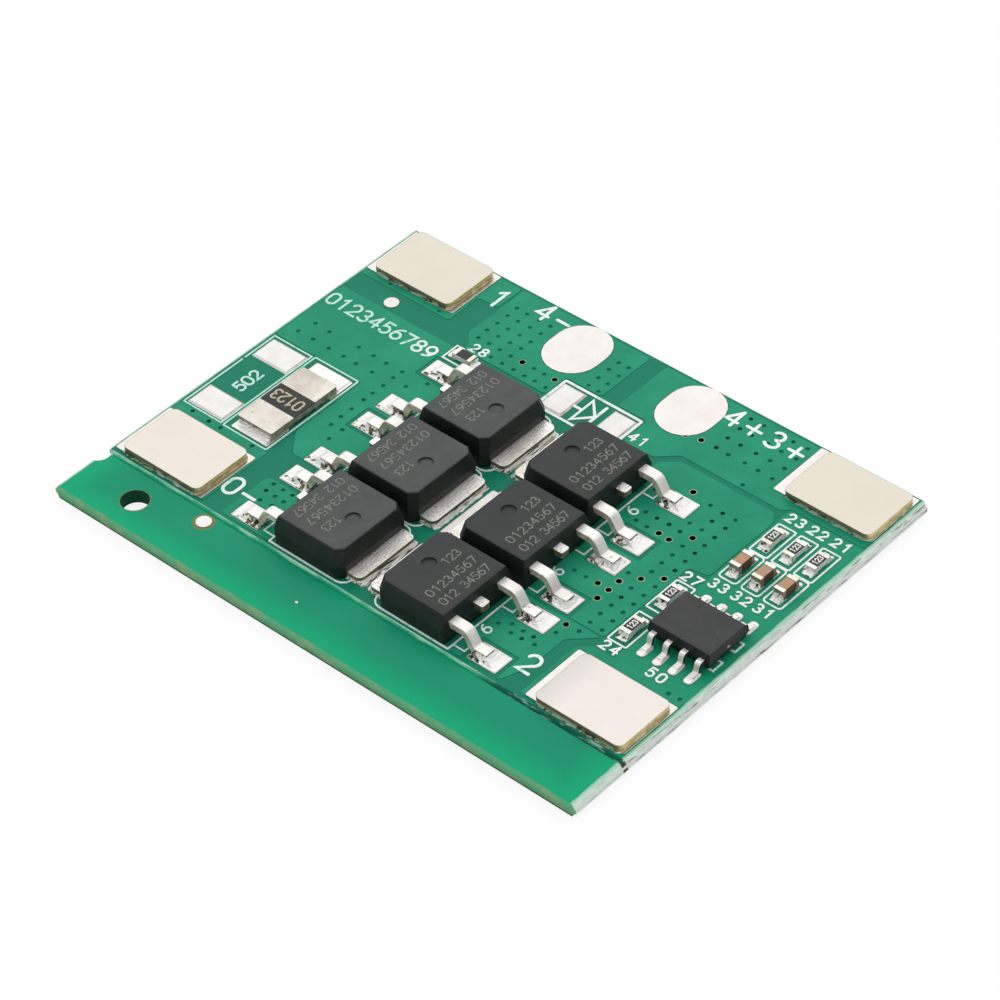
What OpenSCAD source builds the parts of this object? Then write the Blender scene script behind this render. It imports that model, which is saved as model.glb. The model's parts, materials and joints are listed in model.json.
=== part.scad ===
// Battery management board: a cell protection circuit on a green laminate, with its
// breakaway rail still on. The origin is the middle of the laminate's underside,
// +X runs along the rail and +Z points out of the component side.

/* [Board] */
// Length of the laminate along the rail
board_l = 45; // [44:0.5:60]
// Width of the laminate, rail included
board_w = 35; // [34.5:0.5:45]
// Thickness of the laminate
board_t = 1.1; // [0.8:0.1:1.6]
// Front edge of the rail to the middle of its score
rail_w = 4.6; // [4.2:0.1:4.7]
// Width of a score at the face of the laminate
score_w = 0.42; // [0.3:0.02:0.5]
// Depth of a score, which leaves a web between the two faces
score_depth = 0.36; // [0.2:0.02:0.38]
// How far the torn web stands out past a snapped edge
web_l = 0.14; // [0.05:0.01:0.2]
// Diameter of the tooling hole in the rail
tooling_hole_d = 2; // [1.5:0.1:2.4]

/* [Battery tabs] */
// Length of a nickel tab
tab_l = 7.1; // [6:0.1:7.5]
// Width of a nickel tab
tab_w = 5; // [4:0.1:5]
// Thickness of the nickel strip
tab_t = 0.3; // [0.15:0.05:0.5]
// Corner radius of a nickel tab
tab_corner_r = 0.5; // [0.1:0.1:1]
// Thickness of the solder under a nickel tab
tab_solder_t = 0.22; // [0.1:0.02:0.3]

/* [Power transistors] */
// Distance between the rows of transistors
fet_pitch = 6.93; // [6.8:0.01:7.2]
// Moulding length, from the lead side to the tab side
fet_l = 6; // [5.9:0.1:6.2]
// Moulding width, across the leads
fet_w = 6.55; // [6.2:0.05:6.7]
// Moulding height
fet_h = 2.25; // [2.1:0.05:2.4]
// Thickness of the lead frame
frame_t = 0.48; // [0.4:0.02:0.55]
// Width of an outer lead
lead_w = 0.78; // [0.6:0.02:0.9]
// Distance between the two outer leads
lead_spacing = 4.57; // [4.4:0.01:4.7]
// How far the drain tab stands out of the moulding
drain_tab_l = 1.15; // [0.9:0.05:1.2]
// Width of the drain tab
drain_tab_w = 5.3; // [5:0.1:5.4]
// How far the middle transistor of the right column sits off its pads
fet_slip = 0.62; // [0:0.01:0.7]

/* [Controller] */
// Moulding length, along the rows of leads
ic_l = 5; // [4.7:0.05:5]
// Moulding width
ic_w = 3.85; // [3.7:0.05:4]
// Moulding height
ic_h = 1.45; // [1.3:0.05:1.6]
// Distance between the leads of a row
ic_pitch = 1.27; // [1.2:0.01:1.27]
// Overall width, toe to toe
ic_span = 6.05; // [5.8:0.05:6.2]
// Width of a lead
ic_lead_w = 0.42; // [0.3:0.02:0.5]

/* [Sense resistor] */
// Length of the resistor
shunt_l = 6.4; // [6:0.1:6.6]
// Width of the resistor
shunt_w = 3.2; // [3:0.1:3.3]
// Height of the resistor
shunt_h = 0.62; // [0.5:0.02:0.8]
// Length of its coated middle
shunt_coat_l = 2.05; // [1.5:0.05:3]

/* [Chip parts] */
// Length of a chip resistor or capacitor
chip_l = 1.6; // [1.5:0.05:1.7]
// Width of a chip
chip_w = 0.8; // [0.7:0.05:0.85]
// Height of a chip resistor
resistor_h = 0.45; // [0.4:0.01:0.5]
// Height of a chip capacitor
capacitor_h = 0.8; // [0.6:0.05:0.9]

/* [Hidden] */
// ---- places: in from the left edge and up from the front edge of the laminate ----
pad_t = 0.06;
pad_corner_r = 0.12;
tab_pad = [8.1, 5.15];
tab_pad_side = 4.25;
tab_pad_front = 7.72;
tab_pad_back = board_w - 2.72;
TAB_PADS = [
    [tab_pad_side, tab_pad_front], [tab_pad_side, tab_pad_back],
    [board_l - tab_pad_side, tab_pad_back], [board_l - tab_pad_side, tab_pad_front]
];
// Each tab was set by hand, a little off the middle of its pad
TAB_SET = [[0.15, -0.12], [0.12, -0.08], [0.4, -0.25], [0.3, -0.24]];
TAB_NAMES = ["tab_front_left", "tab_back_left", "tab_back_right", "tab_front_right"];

output_pad = [4.3, 5.33];
OUTPUT_PADS = [[17.54, board_w - 2.7], [27.6, board_w - 2.7]];

fet_row_front = 8.42;
fet_column_left = 17.98;
fet_column_right = 26.97;
FET_COUNT = 6;
// Transistors 1 to 3 face right in the left column, 4 to 6 face left in the right one
FET_PADS = [for (i = [0 : FET_COUNT - 1])
    let (row = fet_row_front + (i % 3) * fet_pitch)
    i < 3 ? [fet_column_left, row, 0] : [fet_column_right, row, 180]];
function slip(i) = i == 4 ? fet_slip : 0;
FETS = [for (i = [0 : FET_COUNT - 1]) FET_PADS[i] + [slip(i), 0, 0]];

ic_place = [board_l - 3.13, 15.71];
shunt_place = [6.37, 15.36];
chip_columns = [board_l - 5.15, board_l - 3.34, board_l - 1.52];
RESISTORS = [
    [12.3, 26.6, 0],
    [board_l - 6.85, 17.54, 90], [board_l - 6.85, 13.77, 90],
    [chip_columns[0], 25.78, 90], [chip_columns[1], 25.78, 90], [chip_columns[2], 25.78, 90]
];
CAPACITORS = [for (x = chip_columns) [x, 22.57, 90]];

shunt_coat_t = 0.08;
shunt_pad = [3.35, 2.25];
shunt_pad_y = [12.66, 18.85];
spare_shunt_x = 2.24;
diode_pad = [2.02, 2.85];
diode_pad_x = [20.22, 24.7];
diode_pad_y = 27.68;
fiducial_d = 1.1;
FIDUCIALS = [[10.02, 3.65], [4.2, 27.95]];
tooling_place = [5, 2.25];
// The bite left in the rail's end by a row of drilled holes
bite_r = 0.9;
bite_place = [-0.36, 4.1];
tear_step = 0.04;

// ---- sizes that follow from the ones above ----
eps = 0.01;
fet_seat = 0.04;
fet_parting = 1.02;
fet_draft_side = 0.33;
fet_draft_end = 0.24;
fet_tuck = 0.03;
fet_chamfer = 0.5;
fet_corner_r = 0.28;
fet_rim = 0.07;
fet_dimple_d = 1.06;
fet_dimple_x = 1.17;
fet_dimple_depth = 0.12;
fet_shoulder_z = 1.32;
fet_knee_x = 4.23;
fet_toe = 6;
fet_foot_l = 1.02;
stub_w = 0.76;
stub_l = 0.68;
stub_corner_r = 0.16;
drain_pad = [5.9, 5.2];
drain_pad_x = 1.4;
lead_pad = [2.45, 1.75];
lead_pad_x = -5.9;

ic_seat = 0.22;
ic_parting = 0.78;
ic_draft_side = 0.14;
ic_draft_end = 0.06;
ic_tuck = 0.16;
ic_rim = 0.06;
ic_lead_t = 0.2;
ic_shoulder_z = 0.82;
ic_foot_l = 0.62;
tie_bar = [0.34, 0.24, 0.14];
tie_bar_out = 0.02;
ic_pad = [0.68, 1.35];
ic_pad_y = 2.84;
IC_LEADS = [for (side = [0, 180], i = [-1.5 : 1.5]) [i * ic_pitch, side]];

band = 0.3;
plate_t = 0.03;
chip_pad = [0.8, 0.86];
chip_pad_x = 0.84;
film = 0.03;
lead_crest = 0.38;
ic_crest = 0.18;
mound_t = 0.12;
fillet_h = 0.3;

// ---- outlines ----
function arc(c, r, from, to, n = 6) =
    [for (i = [0 : n]) let (a = from + (to - from) * i / n) c + r * [cos(a), sin(a)]];

// Corner points of a rectangle with one radius at each corner, counted from +X +Y
function corners(size, r) = let (h = size / 2) concat(
    arc([h.x - r[0], h.y - r[0]], r[0], 0, 90), arc([r[1] - h.x, h.y - r[1]], r[1], 90, 180),
    arc([r[2] - h.x, r[2] - h.y], r[2], 180, 270), arc([h.x - r[3], r[3] - h.y], r[3], 270, 360));

function rounded(size, r) = corners(size, [r, r, r, r]);

// A strip of thickness t that runs out at height z1, bends down at x1 and ends flat at x2, z2.
// The two bend radii are those of its middle line
function gull_wing(x0, z1, x1, z2, x2, t, bends, lean) =
    let (
        foot_x = x1 + (z1 - z2) / tan(lean),
        c1 = [x1 - bends[0] * tan(lean / 2), z1 - bends[0]],
        c2 = [foot_x + bends[1] * tan(lean / 2), z2 + bends[1]]
    )
    concat(
        [[x0, z1 + t / 2]], arc(c1, bends[0] + t / 2, 90, 90 - lean),
        arc(c2, bends[1] - t / 2, 270 - lean, 270), [[x2, z2 + t / 2], [x2, z2 - t / 2]],
        arc(c2, bends[1] + t / 2, 270, 270 - lean), arc(c1, bends[0] - t / 2, 90 - lean, 90),
        [[x0, z1 - t / 2]]);

function reversed(list) = [for (i = [len(list) - 1 : -1 : 0]) list[i]];

// An outline from its right half, listed upwards
function both_sides(right) = concat(right, reversed([for (p = right) [-p.x, p.y]]));

// Right flank of a moulding that tapers both ways from its parting line, listed upwards
function flank(half, bottom, parting, top, tuck, draft, rim) =
    [[half - tuck, bottom], [half, parting], [half - draft, top - rim], [half - draft - rim, top]];

// A hollow slope from one point up to another
function rise(from, to, n = 4) =
    [for (i = [0 : n]) let (s = i / n) [from.x + (to.x - from.x) * s, from.y + (to.y - from.y) * s * s]];

// Section of solder drawn up from both edges of its pad to a crest that runs from low to high
function crest(half, low, high, top) = concat([[-half, 0], [half, 0]],
    rise([half, film], [high, top]), reversed(rise([-half, film], [low, top])));

// ---- placing ----
module place(p) {
    turn = len(p) > 2 ? p[2] : 0;
    translate([p.x - board_l / 2, p.y - board_w / 2, board_t]) rotate(turn) children();
}

module on_pads() {
    translate([0, 0, pad_t]) children();
}

module for_each_end() {
    for (turn = [0, 180]) rotate(turn) children();
}

// Stands an X-Z outline up, w wide about the Y axis
module upright(w) {
    rotate([90, 0, 0]) linear_extrude(w, center = true) children();
}

module plate(size, t, r = pad_corner_r) {
    linear_extrude(t) polygon(rounded(size, r));
}

// A low heap of solder: a plate with sloping sides
module mound(size, t, slope = 0.14) {
    intersection() {
        upright(size.y) polygon(both_sides(flank(size.x / 2, 0, eps, t, 0, slope, 0.02)));
        rotate(90) upright(size.x) polygon(both_sides(flank(size.y / 2, 0, eps, t, 0, slope, 0.02)));
        plate(size, t);
    }
}

// A hollow fillet of solder up a wall at X 0, with a thin film out to l
module wedge(l, h, w) {
    upright(w) polygon(concat([[0, 0], [l, 0], [l, film]], arc([h, h + film], h, 270, 180)));
}

// Solder drawn up round a foot that runs along X from toe to heel
module foot_solder(size, toe, heel, foot_w, top, r = pad_corner_r) {
    intersection() {
        upright(size.y) polygon(crest(size.x / 2, toe, heel, top));
        rotate(90) upright(size.x) polygon(crest(size.y / 2, -foot_w / 2, foot_w / 2, top));
        plate(size, top, r);
    }
}

// ---- laminate ----
module laminate_section() {
    h = board_l / 2;
    s = score_w / 2;
    tear = h + s + web_l;
    polygon(both_sides([[h, 0], [h + s, score_depth], [tear, score_depth + tear_step],
        [tear - web_l * 0.4, board_t / 2], [tear, board_t - score_depth - tear_step],
        [h + s, board_t - score_depth], [h, board_t]]));
}

module score() {
    s = score_w / 2;
    rotate([90, 0, 90]) linear_extrude(board_l + 2, center = true)
        polygon([[-s * 1.1, score_depth * 0.1], [0, -score_depth], [s * 1.1, score_depth * 0.1]]);
}

module drill(d) {
    translate([0, 0, -board_t - 1]) cylinder(d = d, h = board_t + 2, $fn = 64);
}

module board() {
    color([0.13, 0.6, 0.45]) difference() {
        upright(board_w) laminate_section();
        place([board_l / 2, rail_w]) score();
        place([board_l / 2, rail_w]) translate([0, 0, -board_t]) mirror([0, 0, 1]) score();
        place(tooling_place) drill(tooling_hole_d);
        place(bite_place) drill(2 * bite_r);
    }
}

// ---- exposed copper ----
module copper() {
    color([0.93, 0.93, 0.9]) children();
}

module battery_pads() {
    copper() for (p = TAB_PADS) place(p) plate(tab_pad, pad_t);
}

module output_pads() {
    copper() for (p = OUTPUT_PADS) place(p) plate(output_pad, pad_t, output_pad.x / 2);
}

module drain_pads() {
    copper() for (p = FET_PADS) place(p) translate([drain_pad_x, 0, 0]) plate(drain_pad, pad_t);
}

module lead_pads() {
    copper() for (p = FET_PADS, side = [-1, 1])
        place(p) translate([lead_pad_x, side * lead_spacing / 2, 0]) plate(lead_pad, pad_t);
}

module controller_pads() {
    copper() for (lead = IC_LEADS)
        place(ic_place) rotate(lead[1]) translate([lead[0], -ic_pad_y, 0]) plate(ic_pad, pad_t, 0.3);
}

module chip_pads() {
    copper() {
        for (p = concat(RESISTORS, CAPACITORS), side = [-1, 1])
            place(p) translate([side * chip_pad_x, 0, 0]) plate(chip_pad, pad_t, 0.08);
        for (y = shunt_pad_y) place([shunt_place.x, y]) plate(shunt_pad, pad_t);
    }
}

// Bare places for a second sense resistor and a diode, each pad heaped with solder
module spare_pads() {
    copper() {
        for (y = shunt_pad_y) place([spare_shunt_x, y]) mound(shunt_pad, mound_t);
        for (x = diode_pad_x) place([x, diode_pad_y]) mound(diode_pad, mound_t);
    }
}

module fiducials() {
    copper() for (p = FIDUCIALS) place(p) cylinder(d = fiducial_d, h = pad_t, $fn = 48);
}

// ---- battery tabs ----
module battery_tab(i) {
    color([0.93, 0.9, 0.85]) place(TAB_PADS[i] + TAB_SET[i])
        on_pads() translate([0, 0, tab_solder_t]) plate([tab_l, tab_w], tab_t, tab_corner_r);
}

module tab_solder() {
    color([0.8, 0.72, 0.5]) for (i = [0 : 3])
        place(TAB_PADS[i] + TAB_SET[i]) on_pads()
            plate([tab_l, tab_w] - [0.4, 0.4], tab_solder_t, tab_corner_r);
}

// ---- power transistors ----
module fet_lead_form() {
    rotate(180) upright(lead_w) polygon(gull_wing(1.9, fet_shoulder_z, fet_knee_x,
        frame_t / 2, fet_toe, frame_t, [0.42, 0.3], 61));
}

// The drain tab, the slab under the die and the cut middle lead are one folded strip
module drain_frame_form() {
    tab_end = fet_l / 2 + drain_tab_l;
    slab_start = -1.5;
    stub_end = fet_l / 2 + stub_l;
    linear_extrude(frame_t) translate([(tab_end + slab_start) / 2, 0])
        polygon(corners([tab_end - slab_start, drain_tab_w], [0.45, 0.1, 0.1, 0.45]));
    intersection() {
        upright(stub_w) polygon(gull_wing(-stub_end, fet_shoulder_z, -2.3,
            frame_t / 2, -1, frame_t, [0.3, 0.3], 70));
        translate([-stub_end / 2, 0, 0]) plate([stub_end, stub_w], fet_h, stub_corner_r);
    }
}

function fet_flank(half, tuck, draft) =
    flank(half, fet_seat, fet_parting, fet_h, tuck, draft, fet_rim);

// Cuts one corner of the drain side off at 45 degrees, with the lean of the faces it joins
module fet_corner_cut() {
    half = (fet_l + fet_w) / 2 - fet_chamfer;
    upright(2 * fet_w) polygon(concat([[-fet_w, fet_h], [-fet_w, fet_seat]],
        fet_flank(half / sqrt(2), fet_tuck * sqrt(2), (fet_draft_side + fet_draft_end) / sqrt(2))));
}

module fet_moulding() {
    difference() {
        intersection() {
            upright(fet_w + 1) polygon(both_sides(fet_flank(fet_l / 2, fet_tuck, fet_draft_end)));
            rotate(90) upright(fet_l + 1)
                polygon(both_sides(fet_flank(fet_w / 2, fet_tuck, fet_draft_side)));
            rotate(45) fet_corner_cut();
            rotate(-45) fet_corner_cut();
            plate([fet_l, fet_w], fet_h, fet_corner_r);
        }
        translate([fet_dimple_x, 0, fet_h - fet_dimple_depth]) cylinder(d = fet_dimple_d, h = 1, $fn = 48);
        drain_frame_form();
        for (side = [-1, 1]) translate([0, side * lead_spacing / 2, 0]) fet_lead_form();
    }
}

module transistor_body(i) {
    color([0.16, 0.17, 0.17]) place(FETS[i]) on_pads() fet_moulding();
}

module transistor_drain_frame(i) {
    color([0.82, 0.82, 0.8]) place(FETS[i]) on_pads() drain_frame_form();
}

module transistor_leads(i) {
    color([0.93, 0.92, 0.9]) place(FETS[i]) on_pads()
        for (side = [-1, 1]) translate([0, side * lead_spacing / 2, 0]) fet_lead_form();
}

// Solder left round each foot, cut where the lead stands in it
module lead_solder() {
    toe = -fet_toe - lead_pad_x;
    color([0.95, 0.95, 0.93]) for (i = [0 : FET_COUNT - 1], side = [-1, 1]) difference() {
        place(FET_PADS[i]) on_pads() translate([lead_pad_x, side * lead_spacing / 2, 0])
            foot_solder(lead_pad - [0.1, 0.1], toe - slip(i), toe - slip(i) + fet_foot_l,
                lead_w, lead_crest);
        place(FETS[i]) on_pads() translate([0, side * lead_spacing / 2, 0]) fet_lead_form();
    }
}

// ---- controller ----
module ic_lead_form() {
    rotate(-90) upright(ic_lead_w) polygon(gull_wing(ic_w / 2 - 0.4, ic_shoulder_z,
        ic_span / 2 - ic_foot_l - 0.12, ic_lead_t / 2, ic_span / 2, ic_lead_t, [0.18, 0.24], 78));
}

// Ends of the bars that held the moulding in its lead frame
module tie_bars_form() {
    for_each_end() translate([ic_l / 2 + tie_bar_out - tie_bar.x, -tie_bar.y / 2, ic_shoulder_z])
        cube(tie_bar);
}

function ic_flank(half, draft) =
    both_sides(flank(half, ic_seat, ic_parting, ic_h, ic_tuck, draft, ic_rim));

module ic_moulding() {
    difference() {
        intersection() {
            upright(ic_w + 1) polygon(ic_flank(ic_l / 2, ic_draft_end));
            rotate(90) upright(ic_l + 1) polygon(ic_flank(ic_w / 2, ic_draft_side));
        }
        tie_bars_form();
        for (lead = IC_LEADS) rotate(lead[1]) translate([lead[0], 0, 0]) ic_lead_form();
    }
}

module controller_body() {
    color([0.16, 0.17, 0.17]) place(ic_place) on_pads() ic_moulding();
}

module controller_leads() {
    color([0.93, 0.92, 0.9]) place(ic_place) on_pads() {
        for (lead = IC_LEADS) rotate(lead[1]) translate([lead[0], 0, 0]) ic_lead_form();
        tie_bars_form();
    }
}

module controller_solder() {
    toe = ic_pad_y - ic_span / 2;
    color([0.95, 0.95, 0.93]) place(ic_place) on_pads() for (lead = IC_LEADS)
        rotate(lead[1]) translate([lead[0], 0, 0]) difference() {
            translate([0, -ic_pad_y, 0]) rotate(90)
                foot_solder([ic_pad.y, ic_pad.x] - [0.06, 0.06], toe, toe + ic_foot_l,
                    ic_lead_w, ic_crest, 0.28);
            ic_lead_form();
        }
}

// ---- sense resistor ----
// One metal strip from end to end, thinned in its middle where the coat goes round it
module shunt_strip_form() {
    intersection() {
        plate([shunt_w, shunt_l], shunt_h, 0.15);
        rotate(90) upright(shunt_w) difference() {
            translate([-shunt_l / 2, 0]) square([shunt_l, shunt_h]);
            for (z = [-eps, shunt_h - shunt_coat_t]) translate([-shunt_coat_l / 2, z])
                square([shunt_coat_l, shunt_coat_t + eps]);
        }
    }
}

module sense_resistor_coat() {
    color([0.17, 0.16, 0.14]) place(shunt_place) on_pads() difference() {
        plate([shunt_w, shunt_coat_l], shunt_h, 0.03);
        shunt_strip_form();
    }
}

module sense_resistor_strip() {
    color([0.88, 0.86, 0.82]) place(shunt_place) on_pads() shunt_strip_form();
}

// ---- chip resistors and capacitors ----
module resistor_ceramic_form() {
    upright(chip_w) polygon([
        [-chip_l / 2 + plate_t, plate_t], [chip_l / 2 - plate_t, plate_t],
        [chip_l / 2 - plate_t, resistor_h - plate_t], [-chip_l / 2 + plate_t, resistor_h - plate_t]]);
}

module resistor_ceramic(i) {
    color([0.86, 0.87, 0.86]) place(RESISTORS[i]) on_pads() resistor_ceramic_form();
}

// Plated ends wrap over the face, the end and the foot of the ceramic
module resistor_ends(i) {
    color([0.92, 0.91, 0.88]) place(RESISTORS[i]) on_pads() for_each_end() difference() {
        translate([chip_l / 2 - band, -chip_w / 2, 0]) cube([band, chip_w, resistor_h]);
        upright(chip_w + 1) polygon([[0, plate_t], [chip_l / 2 - plate_t, plate_t],
            [chip_l / 2 - plate_t, resistor_h - plate_t], [0, resistor_h - plate_t]]);
    }
}

module resistor_glazes() {
    glaze = [chip_l - 2 * band - 0.04, chip_w - 0.06];
    color([0.1, 0.1, 0.1]) for (p = RESISTORS)
        place(p) on_pads() translate([0, 0, resistor_h - plate_t]) plate(glaze, plate_t, 0.02);
}

module capacitor_ceramic(i) {
    color([0.72, 0.5, 0.36]) place(CAPACITORS[i]) on_pads()
        translate([-chip_l / 2 + plate_t, -chip_w / 2 + plate_t, plate_t])
            cube([chip_l - 2 * plate_t, chip_w - 2 * plate_t, capacitor_h - 2 * plate_t]);
}

// Plated ends cap all five faces of the ceramic
module capacitor_ends(i) {
    color([0.92, 0.9, 0.86]) place(CAPACITORS[i]) on_pads() for_each_end() difference() {
        translate([chip_l / 2 - band, -chip_w / 2, 0]) cube([band, chip_w, capacitor_h]);
        translate([-eps, -chip_w / 2 + plate_t, plate_t])
            cube([chip_l / 2 - plate_t + eps, chip_w - 2 * plate_t, capacitor_h - 2 * plate_t]);
    }
}

module chip_solder() {
    reach = chip_pad_x + chip_pad.x / 2 - chip_l / 2;
    shunt_reach = shunt_pad_y[1] + shunt_pad.y / 2 - shunt_place.y - shunt_l / 2;
    color([0.95, 0.95, 0.93]) {
        for (p = concat(RESISTORS, CAPACITORS))
            place(p) on_pads() for_each_end() translate([chip_l / 2, 0, 0]) wedge(reach, fillet_h, chip_w);
        place(shunt_place) on_pads() rotate(90) for_each_end()
            translate([shunt_l / 2, 0, 0]) wedge(shunt_reach, fillet_h, shunt_w - 0.3);
    }
}

// ---- assembly ----
board();
for (i = [0 : 3]) battery_tab(i);
for (i = [0 : FET_COUNT - 1]) {
    transistor_body(i);
    transistor_drain_frame(i);
    transistor_leads(i);
}
controller_body();
controller_leads();
sense_resistor_coat();
sense_resistor_strip();
for (i = [0 : len(RESISTORS) - 1]) {
    resistor_ceramic(i);
    resistor_ends(i);
}
resistor_glazes();
for (i = [0 : len(CAPACITORS) - 1]) {
    capacitor_ceramic(i);
    capacitor_ends(i);
}
battery_pads();
output_pads();
drain_pads();
lead_pads();
controller_pads();
chip_pads();
spare_pads();
fiducials();
tab_solder();
lead_solder();
controller_solder();
chip_solder();
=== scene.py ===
"""Looks of a battery management board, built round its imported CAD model.

Lengths in this script are millimetres in the board's own measure: x in from the
left edge of the laminate, y up from the front edge of its rail and z up from its
component side. at() turns them into the model's frame, in metres. The textures
use the model's frame in millimetres: look.x and look.y count from the middle of
the board, and look.z counts from its underside.
"""
import itertools
import json
import math
import random

import bpy
import bmesh
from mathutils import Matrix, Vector, noise


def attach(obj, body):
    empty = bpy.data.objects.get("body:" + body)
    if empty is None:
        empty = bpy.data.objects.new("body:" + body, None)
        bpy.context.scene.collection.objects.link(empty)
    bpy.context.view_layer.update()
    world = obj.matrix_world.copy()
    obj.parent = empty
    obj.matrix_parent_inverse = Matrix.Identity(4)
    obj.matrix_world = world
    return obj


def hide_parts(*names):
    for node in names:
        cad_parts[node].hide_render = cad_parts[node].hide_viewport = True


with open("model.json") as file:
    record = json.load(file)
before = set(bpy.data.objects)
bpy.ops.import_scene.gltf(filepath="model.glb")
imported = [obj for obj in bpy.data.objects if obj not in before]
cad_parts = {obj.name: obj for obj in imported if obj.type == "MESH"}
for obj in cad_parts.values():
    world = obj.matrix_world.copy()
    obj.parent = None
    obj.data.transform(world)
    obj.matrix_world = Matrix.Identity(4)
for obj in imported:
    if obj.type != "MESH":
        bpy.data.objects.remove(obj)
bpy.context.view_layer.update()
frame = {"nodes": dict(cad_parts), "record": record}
RNG = random.Random(11)

BOARD_L, BOARD_W, BOARD_T, RAIL_W = 45.0, 35.0, 1.1, 4.6
PAD_T = 0.06
POUR_T = 0.035
INK_T = 0.062
FET_TOP, RESISTOR_TOP, SHUNT_TOP = PAD_T + 2.25, PAD_T + 0.45, PAD_T + 0.62

# Places of the parts and pads, the same as the model's
FET_ROWS = [8.42, 15.35, 22.28]
FET_PLACES = [(17.98, y, 1) for y in FET_ROWS] + [(26.97, y, -1) for y in FET_ROWS]
FET_SLIP, SLIPPED = 0.62, 4
FETS = [(x + (FET_SLIP if i == SLIPPED else 0), y, facing) for i, (x, y, facing) in enumerate(FET_PLACES)]
LEAD_OFFSET, LEAD_PAD_X = 2.285, 5.9
LEAD_PAD = (2.45, 1.75)
CHIP_X = [39.85, 41.66, 43.48]
TAB_PLACES = [(4.25, 7.72), (4.25, 32.28), (40.75, 32.28), (40.75, 7.72)]
OUTPUT_PLACES = [(17.54, 32.3), (27.6, 32.3)]
SHUNT_PAD_PLACES = [(x, y) for x in (2.24, 6.37) for y in (12.66, 18.85)]
DIODE_PAD_PLACES = [(20.22, 27.68), (24.7, 27.68)]
TOOLING_HOLE, TOOLING_R = (5.0, 2.25), 1.0
FIDUCIAL, FIDUCIAL_R = (10.02, 3.65), 0.62
SCORE_Y = RAIL_W + 0.05


def at(x, y, z=0.0):
    """A place in the board's own measure as a point of the model's frame, in metres."""
    return Vector((x - BOARD_L / 2, y - BOARD_W / 2, z + BOARD_T)) / 1000


def clamped(value):
    return min(1.0, max(0.0, value))


def new_object(name, data):
    made = bpy.data.objects.new(name, data)
    bpy.context.scene.collection.objects.link(made)
    return made


# ---- camera ------------------------------------------
camera = new_object("camera", bpy.data.cameras.new("camera"))
camera.location = (0.128865, -0.133946, 0.169472)
camera.rotation_euler = (0.832214, 0.03694, 0.728061)
camera.data.lens = 137.56
camera.data.clip_start = 0.01
bpy.context.scene.camera = camera


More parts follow.
